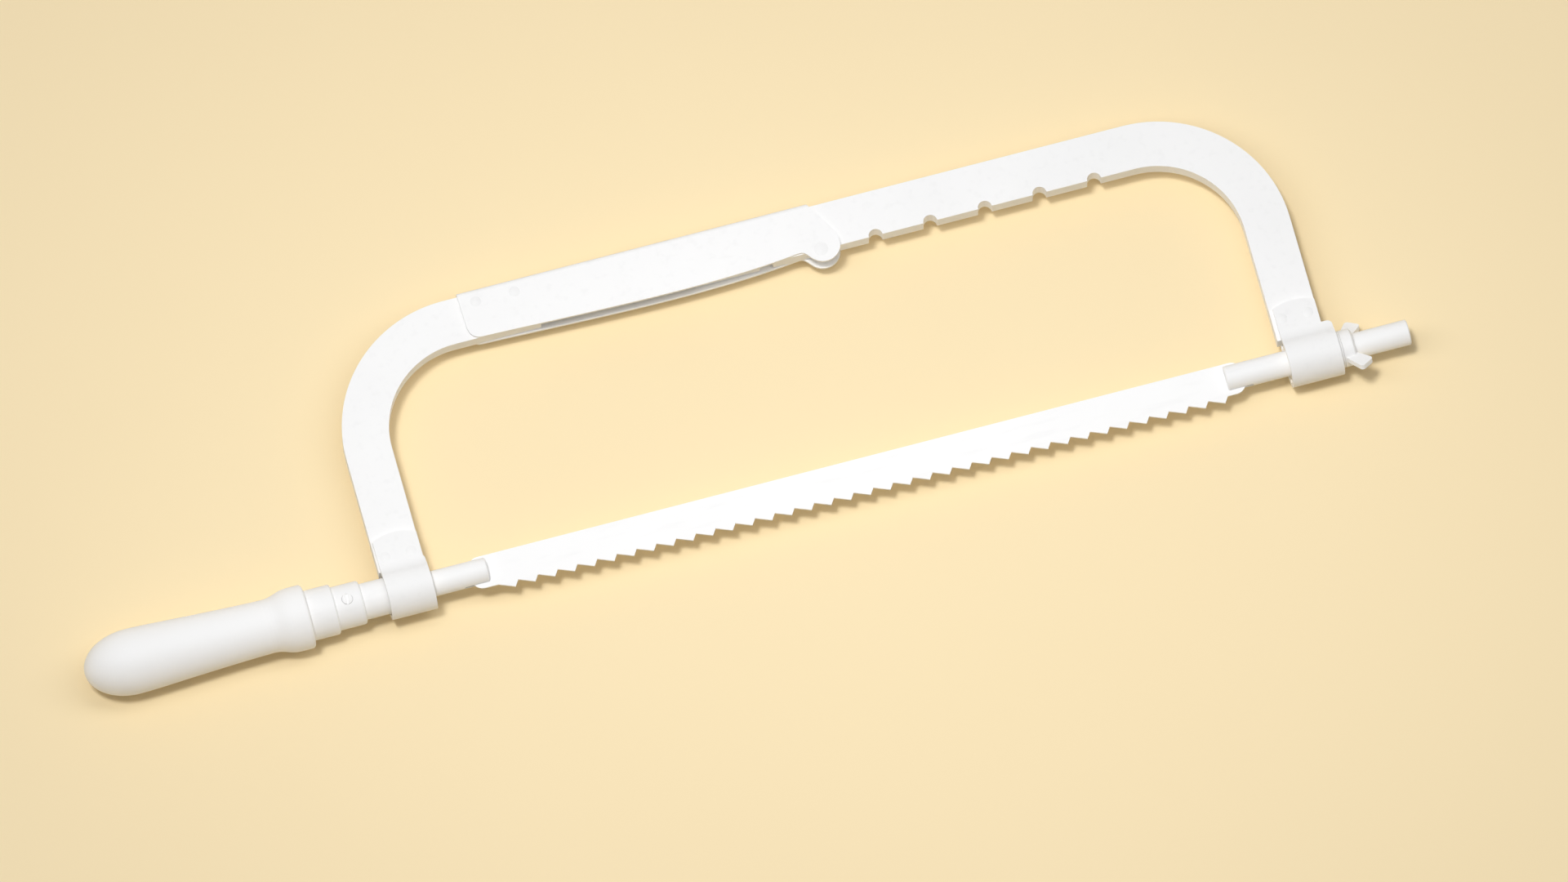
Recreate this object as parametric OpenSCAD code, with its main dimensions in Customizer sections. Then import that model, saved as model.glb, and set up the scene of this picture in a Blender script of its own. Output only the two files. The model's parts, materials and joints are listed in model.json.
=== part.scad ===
// Adjustable hand saw frame with a straight handle, lying on its side.
// X runs from the handle to the wing nut, Y from the blade to the back of the frame, Z up.
// The origin is on the resting surface, at the centre of the footprint.

/* [Overall] */
// Length from the handle's end to the front spindle's end
saw_length = 530; // [528:1:534]
// Distance from the spindle axis to the underside of the frame bar
throat_depth = 91.05; // [88:0.05:96]
// Distance between the two hole centres of the blade
blade_centres = 300; // [299.5:0.1:300.5]

/* [Frame bar] */
// Width of the flat bar
bar_w = 18.2; // [17.5:0.1:19]
// Thickness of the flat bar
bar_t = 7; // [6:0.1:7.2]
// Inside radius of the bend at each corner
corner_r = 34.4; // [30:0.2:36]
// Distance between two notches
notch_pitch = 21.92; // [21:0.01:23]
// Radius of a notch
notch_r = 2.75; // [2.7:0.05:3]

/* [Sleeve] */
// Sheet thickness of the sleeve
sleeve_t = 1.2; // [1:0.1:1.5]
// Radius of the rounded lobe that carries the lock
lobe_r = 6.9; // [6:0.1:7.5]

/* [Straps] */
// Sheet thickness of the straps
strap_t = 1.8; // [1.6:0.1:2]
// Outside radius of a strap's barrel
barrel_r = 9.7; // [9.5:0.1:10]

/* [Spindles] */
// Radius of the round spindles
rod_r = 5; // [4.8:0.05:5.2]
// Radius of the neck behind the rear strap
neck_r = 7.1; // [6.5:0.1:7.4]

/* [Blade] */
// Thickness of the blade
blade_t = 0.8; // [0.6:0.05:1]
// Height of the blade above its gullets
blade_h = 12.95; // [12.5:0.05:13]
// Distance between two tooth tips
tooth_pitch = 7.894; // [7.7:0.001:7.9]
// Number of teeth
teeth = 37; // [30:1:37]

/* [Handle] */
// Largest radius of the handle
handle_r = 12.8; // [12.7:0.1:14]
// Length of the handle up to the ferrule
handle_len = 89.4; // [88:0.1:91]

/* [Hidden] */
$fn = 96;
eps = 0.02;

// Fits: a radial gap for turning, a side gap for sliding
run_gap = 0.05;
slide_gap = 0.1;

// Heights of the frame above the spindle axis
bar_low = throat_depth;
bar_top = bar_low + bar_w;
sleeve_inner_top = bar_top + 0.15;
sleeve_top = sleeve_inner_top + sleeve_t;

// The spindle axis, placed so that the origin is the footprint's centre
axis_y = -(sleeve_top - handle_r) / 2;
axis_z = handle_r;

// Stations along X, from the handle to the wing nut
handle_x = -saw_length / 2;
ferrule_x = handle_x + handle_len;
collar_x = ferrule_x + 10.6;
neck_x = collar_x + 11;
rear_strap_x = neck_x + 9.6;
rear_strap_w = 18;
rear_strap_w2 = 17.45;
rear_leg_x = rear_strap_x - 0.75;
rear_rod_end = rear_strap_x + 40.2;
rear_pin_x = rear_rod_end - 2.7;
rear_hole_x = rear_pin_x + 0.7;
front_hole_x = rear_hole_x + blade_centres;
front_pin_x = front_hole_x + 0.4;
front_rod_x = front_pin_x - 2.7;
front_rod_end = saw_length / 2;
front_strap_x = front_rod_end - 48.8;
front_strap_w = 20.7;
front_strap_w2 = 16.7;
front_leg_x = front_strap_x - 1.5;
front_leg_x2 = front_leg_x + bar_w;
washer_x = front_strap_x + front_strap_w + 0.1;
washer_t = 1;
nut_x = washer_x + washer_t + 0.1;

// Frame bars
leg_low = 8.5;
rear_tail_x = -58;
front_tail_x = 4;
lock_x = 54.3;
notches_behind = 1;
notches_ahead = 5;

// Sleeve outline
sleeve_x = -86.8;
sleeve_nose_x = 53.3;
sleeve_corner_r = 4.5;
sleeve_edge_r = 2;
sleeve_rivet_x = [-80.4, -64.8];
sleeve_rivet_y = bar_top - 3.9;

// Straps and rivets
strap_high = 22.8;
strap_arch_r = 20;
barrel_inner_r = barrel_r - strap_t;
strap_blend_r = 7;
strap_rivet_gap = 10.4;
rear_rivet_y = 13.6;
front_rivet_y = 16.4;
rivet_r = 1.6;
rivet_head_r = 2.1;
rivet_head_h = 0.35;
rivet_sink = 0.1;

// Spindles, bushes and pins
bush_r = barrel_inner_r - run_gap;
bush_bore_r = rod_r + run_gap;
blade_slot = blade_t + 0.5;
slot_len = 10;
pin_r = 1.25;
pin_low = -4.7;
pin_high = 3.6;
tang_r = 3.8;
tang_len = 70;
key_w = 2;
key_len = 8;
key_slot_play = 1.6;

// Blade
blade_back = 5.96;
gullet_y = blade_back - blade_h;
tooth_depth = 2.5;
tooth_rake = 1.7;
first_tip_x = rear_hole_x + 10.9;
blade_end = 5;
blade_corner_r = 4.5;
blade_hole_r = 2;

// Handle, ferrule and its screw
cap_len = 19;
neck_low_r = 10.5;
lip_r = 12.6;
ferrule_r = 9.9;
ferrule_wall = 1.2;
collar_r = 8.6;
screw_x = collar_x + 5;
screw_r = 1.2;
screw_low = 2.5;
screw_head_r = 2.1;
screw_head_h = 0.8;
screw_sink = 0.7;

// Lock and wing nut
lock_pin_r = 2.45;
lock_clear = 0.3;
lock_head_r = 2.7;
lock_back_r = 3.6;
lock_back_h = 1.6;
lock_slot_depth = 0.9;
screw_slot = 1;
hub_r = 7.2;
hub_len = 4.9;
wing_t = 2;
wing_turn = -35;
wing_far = [5.4, 13.4];
wing_near = [8.4, 11.1];
wing_corner_r = 1.3;

// ---------- helpers ----------

// Points on an arc, from angle a to angle b
function arc(cx, cy, r, a, b, n) = [for (i = [0:n]) let (t = a + (b - a) * i / n)
    [cx + r * cos(t), cy + r * sin(t)]];

// Points on a cubic curve, without its first point
function curve(p, q, r, s, n) = [for (i = [1:n]) let (t = i / n, u = 1 - t)
    u * u * u * p + 3 * u * u * t * q + 3 * u * t * t * r + t * t * t * s];

// Moves a shape drawn around the spindle axis to its place
module place() {
    translate([0, axis_y, axis_z]) children();
}

// Turns a shape drawn along Z so that it runs along X from the station x
module along_x(x) {
    translate([x, 0, 0]) rotate([0, 90, 0]) children();
}

// Solid turned around the spindle axis, from an outline of [x, radius] points
module turned(outline) {
    rotate([0, 90, 0]) rotate([0, 0, 90]) rotate_extrude()
        polygon([for (p = outline) [p[1], p[0]]]);
}

// Plain round bar along X, with small chamfers
module round_bar(x, len, r, c = 0.4) {
    turned([[x, 0], [x, r - c], [x + c, r], [x + len - c, r], [x + len, r - c], [x + len, 0]]);
}

// Tube along X
module tube(x, len, r, bore) {
    along_x(x) difference() {
        cylinder(r = r, h = len);
        translate([0, 0, -1]) cylinder(r = bore, h = len + 2);
    }
}

// Low domed head that stands up from z = 0
module dome(r, h) {
    ball = (r * r + h * h) / (2 * h);
    intersection() {
        translate([0, 0, h - ball]) sphere(r = ball);
        cylinder(r = r + 1, h = h + 1);
    }
}

// Rivet through a stack that reaches half_z on both sides of the mid-plane
module rivet(x, y, half_z) {
    translate([x, y, 0]) {
        cylinder(r = rivet_r, h = 2 * (half_z + rivet_sink), center = true);
        for (side = [0, 180]) rotate([side, 0, 0]) translate([0, 0, half_z]) dome(rivet_head_r, rivet_head_h);
    }
}

// Clear hole for a rivet
module rivet_hole(x, y) {
    translate([x, y, 0]) cylinder(r = rivet_r, h = 40, center = true);
}

// J-shaped flat bar: a leg, a bend and a tail; the leg's outer edge is at leg_outer
module bent_bar(leg_outer, tail_x, side) {
    bend_x = leg_outer - side * (bar_w + corner_r);
    bend_y = bar_low - corner_r;
    outer_r = corner_r + bar_w;
    linear_extrude(height = bar_t, center = true) {
        translate([min(leg_outer, leg_outer - side * bar_w), leg_low]) square([bar_w, bend_y - leg_low]);
        translate([min(bend_x, tail_x), bar_low]) square([abs(bend_x - tail_x), bar_w]);
        intersection() {
            translate([bend_x, bend_y]) difference() {
                circle(r = outer_r);
                circle(r = corner_r);
            }
            translate([side > 0 ? bend_x : bend_x - outer_r, bend_y]) square(outer_r);
        }
    }
}

// Section of a strap across X: a barrel around the bush and two plates up the leg
module strap_section() {
    plate_in = bar_t / 2;
    plate_out = plate_in + strap_t;
    blend_y = sqrt(pow(barrel_r + strap_blend_r, 2) - pow(plate_out + strap_blend_r, 2));
    blend_z = barrel_r * (plate_out + strap_blend_r) / (barrel_r + strap_blend_r);
    difference() {
        union() {
            circle(r = barrel_r);
            translate([0, -plate_out]) square([strap_high + 1, 2 * plate_out]);
            difference() {
                translate([0, -blend_z]) square([blend_y, 2 * blend_z]);
                for (s = [-1, 1]) translate([blend_y, s * (plate_out + strap_blend_r)])
                    circle(r = strap_blend_r);
            }
        }
        circle(r = barrel_inner_r);
        translate([0, -plate_in]) square([strap_high + 2, 2 * plate_in]);
    }
}

// Strap: the section along X, cut to an outline with an arched top; the barrel may be wider than the plates
module strap(x, barrel_w, plate_w) {
    arch_y = strap_high - strap_arch_r;
    shoulder_y = 11.2;
    shoulder_r = 2;
    intersection() {
        translate([x, 0, 0]) rotate([90, 0, 90]) linear_extrude(height = barrel_w) strap_section();
        translate([0, 0, -20]) linear_extrude(height = 40) {
            translate([x, -barrel_r - 1]) square([barrel_w, barrel_r + 1 + shoulder_y - shoulder_r]);
            translate([x, 0]) square([barrel_w - shoulder_r, shoulder_y]);
            translate([x + barrel_w - shoulder_r, shoulder_y - shoulder_r]) circle(r = shoulder_r);
            intersection() {
                translate([x, shoulder_y - 1]) square([plate_w, strap_high]);
                translate([x + plate_w / 2, arch_y]) circle(r = strap_arch_r);
            }
        }
    }
}

// Pair of rivet positions across a leg
function strap_rivets_x(leg_x) = [for (s = [-1, 1]) leg_x + bar_w / 2 + s * strap_rivet_gap / 2];

// ---------- rear frame ----------

module rear_bar() {
    color("white") place() difference() {
        bent_bar(rear_leg_x, rear_tail_x, -1);
        for (x = sleeve_rivet_x) rivet_hole(x, sleeve_rivet_y);
        for (x = strap_rivets_x(rear_leg_x)) rivet_hole(x, rear_rivet_y);
    }
}

// Outline of the sleeve's side: straight back, bulged lower edge, round lobe and slanted nose.
// The lower edge is two curves, which meet at the dip just behind the lobe.
module sleeve_outline() {
    low_y = bar_low - 0.15;
    lobe = [lock_x + 1, bar_low + 1.6];
    dip = [45.4, bar_low + 0.4];
    lobe_foot = [49.8, bar_low - 2.6];
    nose_foot = lobe + [lobe_r * cos(30), lobe_r * sin(30)];
    polygon(concat(
        [[sleeve_x, sleeve_top], [sleeve_x + 0.4, low_y + sleeve_corner_r]],
        arc(sleeve_x + 0.6 + sleeve_corner_r, low_y + sleeve_corner_r, sleeve_corner_r, 190, 270, 8),
        curve([sleeve_x + 5, low_y], [-40, bar_low - 1.2], [8, bar_low - 4.2], dip, 16),
        curve(dip, dip + [2, 0.3], lobe_foot + [-1.4, 1.8], lobe_foot, 5),
        [lobe, nose_foot, [sleeve_nose_x, sleeve_top]]
    ));
    translate(lobe) circle(r = lobe_r);
}

// Section of the sleeve across X: a folded channel, open at the bottom
module sleeve_section() {
    half_in = bar_t / 2 + slide_gap;
    half_out = half_in + sleeve_t;
    difference() {
        union() {
            translate([bar_low - 20, -half_out])
                square([sleeve_top - bar_low + 20 - sleeve_edge_r, 2 * half_out]);
            translate([bar_low, sleeve_edge_r - half_out])
                square([sleeve_top - bar_low, 2 * (half_out - sleeve_edge_r)]);
            for (s = [-1, 1]) translate([sleeve_top - sleeve_edge_r, s * (half_out - sleeve_edge_r)])
                circle(r = sleeve_edge_r);
        }
        translate([bar_low - 21, -half_in]) square([sleeve_inner_top - bar_low + 21, 2 * half_in]);
    }
}

module sleeve() {
    color("white") place() difference() {
        intersection() {
            translate([0, 0, -20]) linear_extrude(height = 40) sleeve_outline();
            translate([sleeve_x - 1, 0, 0]) rotate([90, 0, 90]) linear_extrude(height = 170) sleeve_section();
        }
        for (x = sleeve_rivet_x) rivet_hole(x, sleeve_rivet_y);
        translate([lock_x, bar_low, 0]) cylinder(r = lock_pin_r + run_gap, h = 40, center = true);
    }
}

module sleeve_rivets() {
    color("white") place() for (x = sleeve_rivet_x)
        rivet(x, sleeve_rivet_y, bar_t / 2 + slide_gap + sleeve_t);
}

module rear_strap() {
    color("white") place() difference() {
        strap(rear_strap_x, rear_strap_w, rear_strap_w2);
        for (x = strap_rivets_x(rear_leg_x)) rivet_hole(x, rear_rivet_y);
    }
}

module rear_strap_rivets() {
    color("white") place() for (x = strap_rivets_x(rear_leg_x))
        rivet(x, rear_rivet_y, bar_t / 2 + strap_t);
}

module rear_bush() {
    color("gainsboro") place() tube(rear_strap_x + 2, rear_strap_w - 3, barrel_inner_r, bush_bore_r);
}

// ---------- front frame ----------

module front_bar() {
    color("white") place() difference() {
        bent_bar(front_leg_x2, front_tail_x, 1);
        for (i = [-notches_behind:notches_ahead]) translate([lock_x + i * notch_pitch, bar_low, 0])
            cylinder(r = notch_r, h = 40, center = true);
        for (x = strap_rivets_x(front_leg_x)) rivet_hole(x, front_rivet_y);
    }
}

module front_strap() {
    color("white") place() difference() {
        strap(front_strap_x, front_strap_w, front_strap_w2);
        for (x = strap_rivets_x(front_leg_x)) rivet_hole(x, front_rivet_y);
    }
}

module front_strap_rivets() {
    color("white") place() for (x = strap_rivets_x(front_leg_x))
        rivet(x, front_rivet_y, bar_t / 2 + strap_t);
}

// ---------- lock ----------

// Half-round pin: its flat faces the bar as drawn, and it fills the notch when turned half a turn.
// It is round where it bears in the sleeve, with a slotted head at the back to turn it by.
module lock_pin() {
    inside_z = bar_t / 2 + slide_gap;
    outside_z = inside_z + sleeve_t;
    color("white") place() translate([lock_x, bar_low, 0]) {
        difference() {
            translate([0, 0, -outside_z]) cylinder(r = lock_pin_r, h = 2 * outside_z + rivet_sink);
            translate([-lock_pin_r - 1, -lock_clear, -inside_z]) cube([2 * lock_pin_r + 2, 10, 2 * inside_z]);
        }
        translate([0, 0, outside_z]) dome(lock_head_r, rivet_head_h);
        difference() {
            translate([0, 0, -outside_z - lock_back_h]) cylinder(r = lock_back_r, h = lock_back_h);
            translate([-lock_back_r - 1, -screw_slot / 2, -outside_z - lock_back_h - 1])
                cube([2 * lock_back_r + 2, screw_slot, lock_slot_depth + 1]);
        }
    }
}

// ---------- handle and rear spindle ----------

module handle() {
    cap_x = handle_x + cap_len;
    waist = [ferrule_x - 16.6, neck_low_r];
    tenon_x = ferrule_x + 8;
    tenon_r = ferrule_r - ferrule_wall - run_gap;
    color("white") place() difference() {
        turned(concat(
            [[handle_x, 0]],
            [for (p = arc(0, 0, 1, 172, 90, 16)) [cap_x + cap_len * p[0], handle_r * p[1]]],
            curve([cap_x, handle_r], [cap_x + 9, handle_r], waist + [-26, 0.7], waist, 14),
            curve(waist, waist + [5, 0], [waist[0] + 6, lip_r], [waist[0] + 11, lip_r], 8),
            arc(ferrule_x - 1.4, lip_r - 1.4, 1.4, 90, 0, 5),
            [[ferrule_x, tenon_r], [tenon_x, tenon_r], [tenon_x, 0]]
        ));
        along_x(collar_x - tang_len) cylinder(r = tang_r + run_gap, h = tang_len + 1);
    }
}

module ferrule() {
    inner_r = ferrule_r - ferrule_wall;
    color("white") place() turned([
        [ferrule_x, inner_r], [ferrule_x, ferrule_r], [collar_x - 0.6, ferrule_r], [collar_x, ferrule_r - 0.6],
        [collar_x, tang_r + 0.4], [collar_x - 1.6, tang_r + 0.4], [collar_x - 1.6, inner_r]
    ]);
}

module ferrule_collar() {
    color("white") place() difference() {
        turned([
            [collar_x, rod_r], [collar_x, collar_r], [neck_x - 0.9, collar_r], [neck_x - 0.3, collar_r - 0.3],
            [neck_x, collar_r - 0.9], [neck_x, rod_r]
        ]);
        translate([screw_x, 0, 0]) cylinder(r = screw_r, h = 20);
        translate([screw_x, 0, collar_r - screw_sink]) cylinder(r = screw_head_r + 0.1, h = 5);
    }
}

module ferrule_screw() {
    head_z = collar_r - screw_sink;
    color("gainsboro") place() translate([screw_x, 0, 0]) difference() {
        union() {
            translate([0, 0, screw_low]) cylinder(r = screw_r, h = head_z - screw_low + eps);
            translate([0, 0, head_z]) cylinder(r = screw_head_r, h = screw_head_h);
            translate([0, 0, head_z + screw_head_h]) dome(screw_head_r, 0.5);
        }
        rotate([0, 0, -4]) translate([-screw_slot / 2, -5, head_z + 0.4]) cube([screw_slot, 10, 3]);
    }
}

// Cross hole and blade slot at the end of a spindle
module blade_socket(slot_x, pin_x) {
    translate([slot_x, -10, -blade_slot / 2]) cube([slot_len, 20, blade_slot]);
    translate([pin_x, 0, -8]) cylinder(r = pin_r, h = pin_high + 8);
}

module rear_spindle() {
    shoulder_x = rear_strap_x + 2;
    color("gainsboro") place() difference() {
        turned([
            [collar_x - tang_len + 1, 0], [collar_x - tang_len + 1, tang_r], [collar_x, tang_r], [collar_x, rod_r],
            [neck_x, rod_r], [neck_x, neck_r], [shoulder_x, neck_r], [shoulder_x, rod_r],
            [rear_rod_end - 0.4, rod_r], [rear_rod_end, rod_r - 0.4], [rear_rod_end, 0]
        ]);
        blade_socket(rear_rod_end - slot_len + eps, rear_pin_x);
        translate([screw_x, 0, screw_low]) cylinder(r = screw_r, h = 20);
    }
}

module blade_pin(x) {
    translate([x, 0, pin_low]) cylinder(r = pin_r, h = pin_high - pin_low);
}

module rear_blade_pin() {
    color("silver") place() blade_pin(rear_pin_x);
}

// One tooth: a sloping back down to the tip, then the steep cutting face
function tooth(i) = let (x = first_tip_x + i * tooth_pitch)
    [[x, gullet_y - tooth_depth], [x + tooth_rake, gullet_y]];

// Blade. Its front hole is open towards the end, so that the front pin can leave it when the frame is opened.
module blade() {
    x1 = rear_hole_x - blade_end;
    x2 = front_hole_x + blade_end;
    r = blade_corner_r;
    color("white") place() difference() {
        linear_extrude(height = blade_t, center = true) polygon(concat(
            arc(x1 + r, blade_back - r, r, 90, 180, 8),
            arc(x1 + r, gullet_y + r, r, 180, 270, 8),
            [[first_tip_x - 6.2, gullet_y]],
            [for (i = [0:teeth - 1]) each tooth(i)],
            arc(x2 - r, gullet_y + r, r, 270, 360, 8),
            arc(x2 - r, blade_back - r, r, 0, 90, 8)
        ));
        for (x = [rear_hole_x, front_hole_x]) translate([x, 0, 0])
            cylinder(r = blade_hole_r, h = 10, center = true);
        translate([front_hole_x, -blade_hole_r, -5]) cube([blade_end + 1, 2 * blade_hole_r, 10]);
    }
}

// ---------- front spindle and wing nut ----------

module front_bush() {
    bush_x = front_strap_x + 0.6;
    bush_len = front_strap_w - 1;
    key_x = front_strap_x + 6;
    color("gainsboro") place() difference() {
        tube(bush_x, bush_len, bush_r, bush_bore_r);
        translate([key_x, 0, -key_w / 2]) cube([key_len, bush_r - 1, key_w]);
    }
}

module front_key() {
    color("silver") place() translate([front_strap_x + 6, rod_r - 1, -key_w / 2])
        cube([key_len, bush_r - rod_r, key_w]);
}

module thrust_washer() {
    color("gainsboro") place() tube(washer_x, washer_t, hub_r, bush_bore_r + 0.1);
}

module front_spindle() {
    slot_w = key_w + 0.6;
    key_x = front_strap_x + 6 - key_slot_play / 2;
    color("gainsboro") place() difference() {
        round_bar(front_rod_x, front_rod_end - front_rod_x, rod_r);
        blade_socket(front_rod_x - eps, front_pin_x);
        translate([key_x, rod_r - 1.4, -slot_w / 2]) cube([key_len + key_slot_play + 0.8, 5, slot_w]);
    }
}

module front_blade_pin() {
    color("silver") place() blade_pin(front_pin_x);
}

// Outline of one wing: it leans away from the strap and ends in two rounded corners
module wing() {
    root_x = [0.5, 4.6];
    root_low = hub_r - 2.2;
    polygon(concat(
        [[root_x[1], root_low], [root_x[0], root_low], [root_x[0], hub_r + 0.3]],
        arc(wing_far[0], wing_far[1], wing_corner_r, 151, 51, 8),
        arc(wing_near[0], wing_near[1], wing_corner_r, 51, -40, 8)
    ));
}

module wing_nut() {
    hub_end = nut_x + hub_len;
    color("white") place() difference() {
        union() {
            turned([
                [nut_x, 0], [nut_x, hub_r], [hub_end - 0.8, hub_r], [hub_end, hub_r - 0.9], [hub_end, 0]
            ]);
            for (side = [0, 180]) rotate([side + wing_turn, 0, 0]) translate([nut_x, 0, -wing_t / 2])
                linear_extrude(height = wing_t) wing();
        }
        along_x(nut_x - 1) cylinder(r = bush_bore_r, h = 20);
    }
}

// ---------- the assembly ----------

rear_bar();
sleeve();
sleeve_rivets();
rear_strap();
rear_strap_rivets();
rear_bush();
front_bar();
front_strap();
front_strap_rivets();
lock_pin();
handle();
ferrule();
ferrule_collar();
ferrule_screw();
rear_spindle();
rear_blade_pin();
blade();
front_bush();
front_key();
thrust_washer();
front_spindle();
front_blade_pin();
wing_nut();
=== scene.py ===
"""Looks for the adjustable hacksaw frame: white paint on every part, a pale floor and soft light from above."""

import json
import math

import bpy
from mathutils import Matrix, Vector


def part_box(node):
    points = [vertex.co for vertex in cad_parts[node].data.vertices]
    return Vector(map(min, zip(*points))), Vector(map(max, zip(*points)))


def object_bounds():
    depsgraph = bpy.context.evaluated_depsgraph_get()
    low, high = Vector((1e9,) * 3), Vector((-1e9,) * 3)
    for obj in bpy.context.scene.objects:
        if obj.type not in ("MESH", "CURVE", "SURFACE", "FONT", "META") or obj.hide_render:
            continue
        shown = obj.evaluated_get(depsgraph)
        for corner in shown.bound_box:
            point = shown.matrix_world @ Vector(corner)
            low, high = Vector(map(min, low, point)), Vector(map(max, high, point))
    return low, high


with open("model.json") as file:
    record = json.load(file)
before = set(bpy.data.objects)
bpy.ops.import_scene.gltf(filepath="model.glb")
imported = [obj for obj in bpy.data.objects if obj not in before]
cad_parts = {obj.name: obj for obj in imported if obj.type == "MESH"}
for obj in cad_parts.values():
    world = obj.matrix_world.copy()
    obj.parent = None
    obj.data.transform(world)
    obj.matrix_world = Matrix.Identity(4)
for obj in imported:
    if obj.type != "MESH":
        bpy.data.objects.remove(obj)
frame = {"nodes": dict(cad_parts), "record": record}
cad_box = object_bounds()
nodes = frame["nodes"]

MM = 0.001

# ---------- camera ----------

# How far the saw lies turned anticlockwise in the picture
TURN = math.radians(15.24)
# How far the view leans from straight above, towards the blade's side
LEAN = math.radians(18.73)
# Width of the view at the height of the spindle axis
VIEW_WIDTH = 605.68 * MM
# Far enough for a nearly parallel view.
CAMERA_FAR = 15.0
CLIP_START = 0.1
CLIP_END = 100
SENSOR_WIDTH = 36.0
# Where the middle of the picture falls, across and up the picture, from the spindle axis at x = 0
AIM_ACROSS = 14.1 * MM
AIM_UP = 23.8 * MM


def floor_up():
    """The direction along the floor that goes up the picture."""
    return Vector((math.sin(TURN), math.cos(TURN), 0))


def basis():
    """The picture's own right, up and towards-the-viewer directions, in the CAD frame."""
    right = Vector((math.cos(TURN), -math.sin(TURN), 0))
    towards = Vector((0, 0, 1)) * math.cos(LEAN) - floor_up() * math.sin(LEAN)
    return right, towards.cross(right), towards


def make_camera():
    """Adds the camera, and gives the point that it looks at."""
    right, up, towards = basis()
    spindle_low, spindle_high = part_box("front_spindle")
    axis_middle = Vector((0, (spindle_low.y + spindle_high.y) / 2, (spindle_low.z + spindle_high.z) / 2))
    target = axis_middle + right * AIM_ACROSS + up * AIM_UP
    data = bpy.data.cameras.new("camera")
    data.sensor_width = SENSOR_WIDTH
    data.lens = SENSOR_WIDTH * CAMERA_FAR / VIEW_WIDTH
    data.clip_start = CLIP_START
    data.clip_end = CLIP_END
    camera = bpy.data.objects.new("camera", data)
    bpy.context.scene.collection.objects.link(camera)
    turn = Matrix((right, up, towards)).transposed().to_4x4()
    camera.matrix_world = Matrix.Translation(target + towards * CAMERA_FAR) @ turn
    bpy.context.scene.camera = camera
    return target


# ---------- materials ----------

NOISE_ROUGHNESS = 0.55
# Cloudy changes of tone run between these two values of the noise
CLOUDS_FROM = 0.25
CLOUDS_TO = 0.75
# Sockets of the Mix node when it mixes colours
MIX_FACTOR, MIX_A, MIX_B, MIX_RESULT = 0, 6, 7, 2


def grey(value, warm=0.0):
    return (value, value * (1 - warm * 0.5), value * (1 - warm))


class Shader:
    """One procedural material, with short ways to add and join its nodes."""

    def __init__(self, name):
        self.material = bpy.data.materials.new(name)
        self.material.use_nodes = True
        self.tree = self.material.node_tree
        self.surface = next(n for n in self.tree.nodes if n.type == "BSDF_PRINCIPLED")
        self.place = self.add("ShaderNodeTexCoord").outputs["Object"]

    def add(self, kind, **values):
        """New node. Each value goes to the input of that name, or else to the node's property."""
        node = self.tree.nodes.new(kind)
        for key, value in values.items():
            if key in node.inputs:
                node.inputs[key].default_value = value
            else:
                setattr(node, key, value)
        return node

    def join(self, out, into):
        self.tree.links.new(out, into)

    def stretched(self, scale):
        mapping = self.add("ShaderNodeMapping", Scale=scale)
        self.join(self.place, mapping.inputs["Vector"])
        return mapping.outputs["Vector"]

    def noise(self, place, scale, detail):
        node = self.add("ShaderNodeTexNoise", Scale=scale, Detail=detail, Roughness=NOISE_ROUGHNESS)
        self.join(place, node.inputs["Vector"])
        return node.outputs["Fac"]

    def ramp(self, fac, low, high):
        """Colour that runs from one (position, colour) to the other."""
        node = self.add("ShaderNodeValToRGB")
        self.join(fac, node.inputs["Fac"])
        for element, (position, colour) in zip(node.color_ramp.elements, (low, high)):
            element.position = position
            element.color = (*colour, 1)
        return node.outputs["Color"]

    def multiply(self, first, second):
        mix = self.add("ShaderNodeMix", data_type="RGBA", blend_type="MULTIPLY")
        mix.inputs[MIX_FACTOR].default_value = 1.0
        self.join(first, mix.inputs[MIX_A])
        self.join(second, mix.inputs[MIX_B])
        return mix.outputs[MIX_RESULT]

    def set_colour(self, colour):
        self.join(colour, self.surface.inputs["Base Color"])

    def set_roughness(self, fac, least, most):
        spread = self.add("ShaderNodeMapRange")
        spread.inputs["To Min"].default_value = least
        spread.inputs["To Max"].default_value = most
        self.join(fac, spread.inputs["Value"])
        self.join(spread.outputs["Result"], self.surface.inputs["Roughness"])

    def set_sheen(self, level):
        self.surface.inputs["Specular IOR Level"].default_value = level

    def set_bump(self, height, strength, depth):
        bump = self.add("ShaderNodeBump", Strength=strength, Distance=depth)
        self.join(height, bump.inputs["Height"])
        self.join(bump.outputs["Normal"], self.surface.inputs["Normal"])


# How strongly the satin paint reflects, where 0.5 is the node's own default
PAINT_SHEEN = 0.22
PAINT_WARMTH = 0.006
PAINT_CLOUDS = 28.0
# Tone of the dullest and the brightest clouds, as shares of the paint's own tone
CLOUD_DULL = 0.975
CLOUD_BRIGHT = 1.012
WHITEST = 0.99
# Specks are larger than the coat's grain, and slightly darker than the paint round them
SPECK_SCALE = 0.35
SPECK_TONE = 0.975


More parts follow.
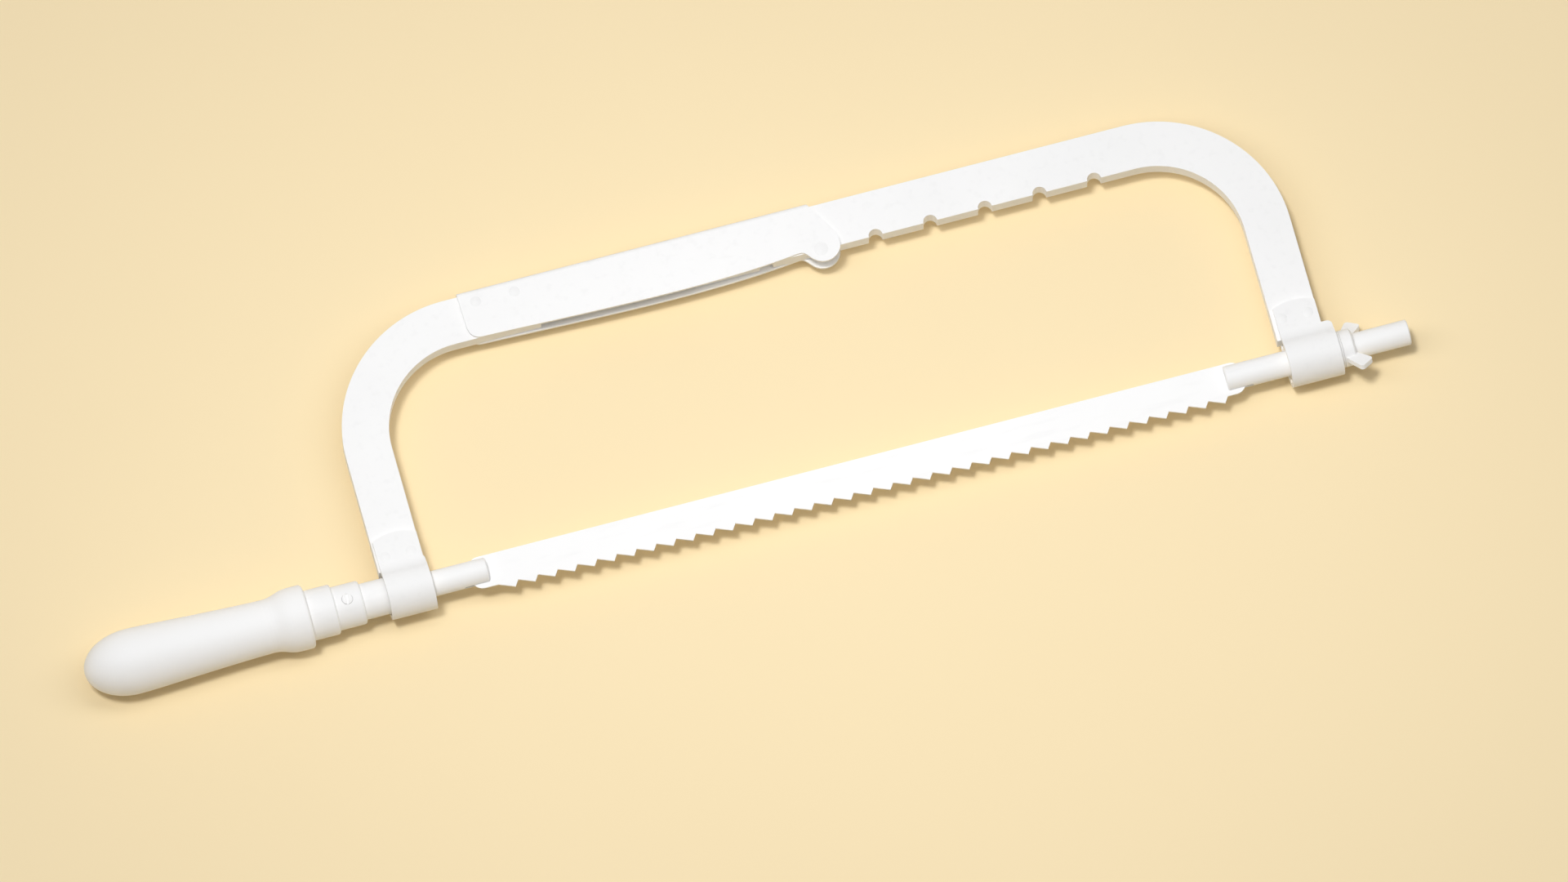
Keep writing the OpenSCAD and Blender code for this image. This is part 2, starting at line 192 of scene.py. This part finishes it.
def painted(name, tone, rough=0.52, grain=900.0, grain_depth=0.02, stretch=(1, 1, 1)):
    """White paint: faint clouds of tone and gloss, small dull specks and the fine grain of the coat."""
    shader = Shader(name)
    stretched = shader.stretched(stretch)
    clouds = shader.noise(shader.place, PAINT_CLOUDS, detail=6.0)
    dull = grey(tone * CLOUD_DULL, PAINT_WARMTH)
    bright = grey(min(tone * CLOUD_BRIGHT, WHITEST), PAINT_WARMTH)
    tint = shader.ramp(clouds, (CLOUDS_FROM, dull), (CLOUDS_TO, bright))
    specks = shader.noise(stretched, grain * SPECK_SCALE, detail=2.0)
    speck_tone = shader.ramp(specks, (0.28, grey(SPECK_TONE)), (0.45, grey(1.0)))
    shader.set_colour(shader.multiply(tint, speck_tone))
    shader.set_roughness(clouds, rough - 0.05, rough + 0.06)
    shader.set_sheen(PAINT_SHEEN)
    shader.set_bump(shader.noise(stretched, grain, detail=3.0), 0.25, grain_depth * MM)
    return shader.material


# Share of the lathe's rings in the handle's relief, next to the wood's grain at 1
RING_SHARE = 0.35


def turned_wood_paint(name, tone):
    """Thick paint on a turned handle: rings left by the lathe just show through the coat."""
    shader = Shader(name)
    clouds = shader.noise(shader.place, 22.0, detail=5.0)
    dull = grey(tone * CLOUD_DULL, 0.012)
    shader.set_colour(shader.ramp(clouds, (CLOUDS_FROM, dull), (CLOUDS_TO, grey(tone, 0.008))))
    rings = shader.add("ShaderNodeTexWave", bands_direction="X", Scale=260.0, Distortion=1.2, Detail=2.0)
    shader.join(shader.place, rings.inputs["Vector"])
    grain = shader.noise(shader.stretched((60, 420, 420)), 1.0, detail=4.0)
    relief = shader.add("ShaderNodeMath", operation="MULTIPLY_ADD")
    relief.inputs[1].default_value = RING_SHARE
    shader.join(rings.outputs["Fac"], relief.inputs[0])
    shader.join(grain, relief.inputs[2])
    shader.set_bump(relief.outputs["Value"], 0.18, 0.03 * MM)
    shader.set_roughness(clouds, 0.5, 0.62)
    shader.set_sheen(PAINT_SHEEN)
    return shader.material


def ground_steel(name):
    """Bare ground steel of the blade pins and the key, with fine scratches."""
    shader = Shader(name)
    scratches = shader.noise(shader.stretched((3000, 3000, 200)), 1.0, detail=3.0)
    shader.set_colour(shader.ramp(scratches, (0.3, grey(0.55)), (0.7, grey(0.70))))
    shader.surface.inputs["Metallic"].default_value = 1.0
    shader.set_roughness(scratches, 0.3, 0.45)
    return shader.material


def paper_floor(name):
    """Pale yellow paper backdrop with a very faint tooth."""
    shader = Shader(name)
    clouds = shader.noise(shader.place, 6.0, detail=3.0)
    shader.set_colour(shader.ramp(clouds, (0.2, (0.955, 0.785, 0.495)), (0.8, (0.962, 0.795, 0.505))))
    shader.surface.inputs["Roughness"].default_value = 0.9
    shader.set_sheen(0.1)
    shader.set_bump(shader.noise(shader.place, 700.0, detail=2.0), 0.05, 0.05 * MM)
    return shader.material


# One look per material slot of the record. A stretch below 1 draws the grain out along the part's length
LOOKS = {
    "frame_paint": painted("frame_paint", 0.93),
    "sleeve_paint": painted("sleeve_paint", 0.94),
    "strap_paint": painted("strap_paint", 0.91),
    "rivet": painted("rivet_paint", 0.91),
    "handle": turned_wood_paint("handle_paint", 0.95),
    "ferrule": painted("ferrule_paint", 0.93, stretch=(0.3, 1, 1)),
    "screw": painted("screw_paint", 0.95),
    "spindle": painted("spindle_paint", 0.94, stretch=(0.2, 1, 1)),
    "pin_steel": ground_steel("pin_steel"),
    "blade": painted("blade_paint", 0.96, stretch=(0.15, 1, 1)),
    "wing_nut": painted("wing_nut_paint", 0.93, grain=500.0, grain_depth=0.04),
}

# Painted highlight: the bevels along the edges of the folded sheet get a brighter, glossier white, in a second
# slot of its own, for the light that these edges catch
PAINTED_HIGHLIGHT = painted("painted_highlight_edge", 0.985, rough=0.34)
HIGHLIGHT_SLOT = 1
SHEET_NODES = ("sleeve", "rear_strap", "front_strap")


def dress_nodes():
    """Each CAD node takes the look of its slot in the record, and sheet metal a painted highlight, a brighter
    white, on its edges.
    """
    for part in frame["record"]["subparts"]:
        mesh = nodes[part["node"]].data
        mesh.materials.clear()
        mesh.materials.append(LOOKS[part["material_slot"]])
        if part["node"] in SHEET_NODES:
            mesh.materials.append(PAINTED_HIGHLIGHT)


# ---------- soft edges ----------

# Width of the worn, painted edge on each node, in millimetres; on the sheet-metal nodes these bevels carry a
# painted highlight. Nodes that aren't named keep sharp edges
EDGES = {
    "rear_bar": 0.3, "front_bar": 0.3, "sleeve": 0.55, "rear_strap": 0.8, "front_strap": 0.8,
    "ferrule": 0.2, "ferrule_collar": 0.2, "rear_spindle": 0.15, "front_spindle": 0.15,
    "blade": 0.08, "wing_nut": 0.4, "handle": 0.2, "thrust_washer": 0.15,
}
EDGE_ANGLE = math.radians(32)
EDGE_SEGMENTS = 3


def soften_edges():
    """Smooth shading between real edges, and a small bevel on those that show."""
    for name, piece in nodes.items():
        for face in piece.data.polygons:
            face.use_smooth = True
        piece.data.set_sharp_from_angle(angle=EDGE_ANGLE)
        if name not in EDGES:
            continue
        bevel = piece.modifiers.new("edge", "BEVEL")
        bevel.width = EDGES[name] * MM
        bevel.segments = EDGE_SEGMENTS
        bevel.limit_method = "ANGLE"
        bevel.angle_limit = EDGE_ANGLE
        bevel.use_clamp_overlap = True
        # The bevels of the sheet nodes take the slot of the painted highlight
        if name in SHEET_NODES:
            bevel.material = HIGHLIGHT_SLOT
        tidy = piece.modifiers.new("shading", "WEIGHTED_NORMAL")
        tidy.keep_sharp = True


# ---------- stage ----------

FLOOR_HALF = 6.0


def make_floor():
    """Wide, flat floor at the bottom of the CAD box."""
    level = cad_box[0].z
    corners = [(x * FLOOR_HALF, y * FLOOR_HALF, level) for x, y in ((-1, -1), (1, -1), (1, 1), (-1, 1))]
    mesh = bpy.data.meshes.new("floor")
    mesh.from_pydata(corners, [], [(0, 1, 2, 3)])
    mesh.materials.append(paper_floor("floor_paper"))
    floor = bpy.data.objects.new("floor", mesh)
    bpy.context.scene.collection.objects.link(floor)


# The main light stands almost overhead, a little to the picture's lower left
KEY_LEFT = 0.17
KEY_DOWN = 0.065
KEY_STRENGTH = 1.42
KEY_ANGLE = math.radians(9)
# A long soft lamp straight above the middle, near enough to leave the picture's corners a little darker
SOFT_HEIGHT = 0.42
SOFT_LENGTH = 0.7
SOFT_WIDTH = 0.16
SOFT_POWER = 0.72
# The room is brighter on the far side, which is the picture's upper side
ROOM_NEAR = 0.18
ROOM_FAR = 0.38


def add_light(name, kind, energy, rotation):
    data = bpy.data.lights.new(name, kind)
    data.energy = energy
    lamp = bpy.data.objects.new(name, data)
    bpy.context.scene.collection.objects.link(lamp)
    lamp.rotation_mode = "QUATERNION"
    lamp.rotation_quaternion = rotation
    return lamp


def make_lamps(aim):
    """A sun for the soft-edged shadows, and the soft lamp over the point aimed at."""
    right = basis()[0]
    to_sun = Vector((0, 0, 1)) - right * KEY_LEFT - floor_up() * KEY_DOWN
    key = add_light("key", "SUN", KEY_STRENGTH, to_sun.to_track_quat("Z", "Y"))
    key.data.angle = KEY_ANGLE
    along_picture = Matrix((right, floor_up(), (0, 0, 1))).transposed().to_quaternion()
    soft = add_light("soft", "AREA", SOFT_POWER, along_picture)
    soft.data.shape = "ELLIPSE"
    soft.data.size = SOFT_LENGTH
    soft.data.size_y = SOFT_WIDTH
    soft.location = (aim.x, aim.y, SOFT_HEIGHT)


def make_room():
    """White light from all round, which grows up the picture."""
    world = bpy.data.worlds.new("soft_room")
    bpy.context.scene.world = world
    world.use_nodes = True
    tree = world.node_tree
    background = next(n for n in tree.nodes if n.type == "BACKGROUND")
    background.inputs["Color"].default_value = (1.0, 1.0, 1.0, 1)
    place = tree.nodes.new("ShaderNodeTexCoord")
    along = tree.nodes.new("ShaderNodeVectorMath")
    along.operation = "DOT_PRODUCT"
    along.inputs[1].default_value = floor_up()
    tree.links.new(place.outputs["Generated"], along.inputs[0])
    spread = tree.nodes.new("ShaderNodeMapRange")
    spread.inputs["From Min"].default_value = -1
    spread.inputs["To Min"].default_value = ROOM_NEAR
    spread.inputs["To Max"].default_value = ROOM_FAR
    tree.links.new(along.outputs["Value"], spread.inputs["Value"])
    tree.links.new(spread.outputs["Result"], background.inputs["Strength"])


aim_point = make_camera()
dress_nodes()
soften_edges()
make_floor()
make_lamps(aim_point)
make_room()
bpy.context.scene.view_settings.view_transform = "Standard"
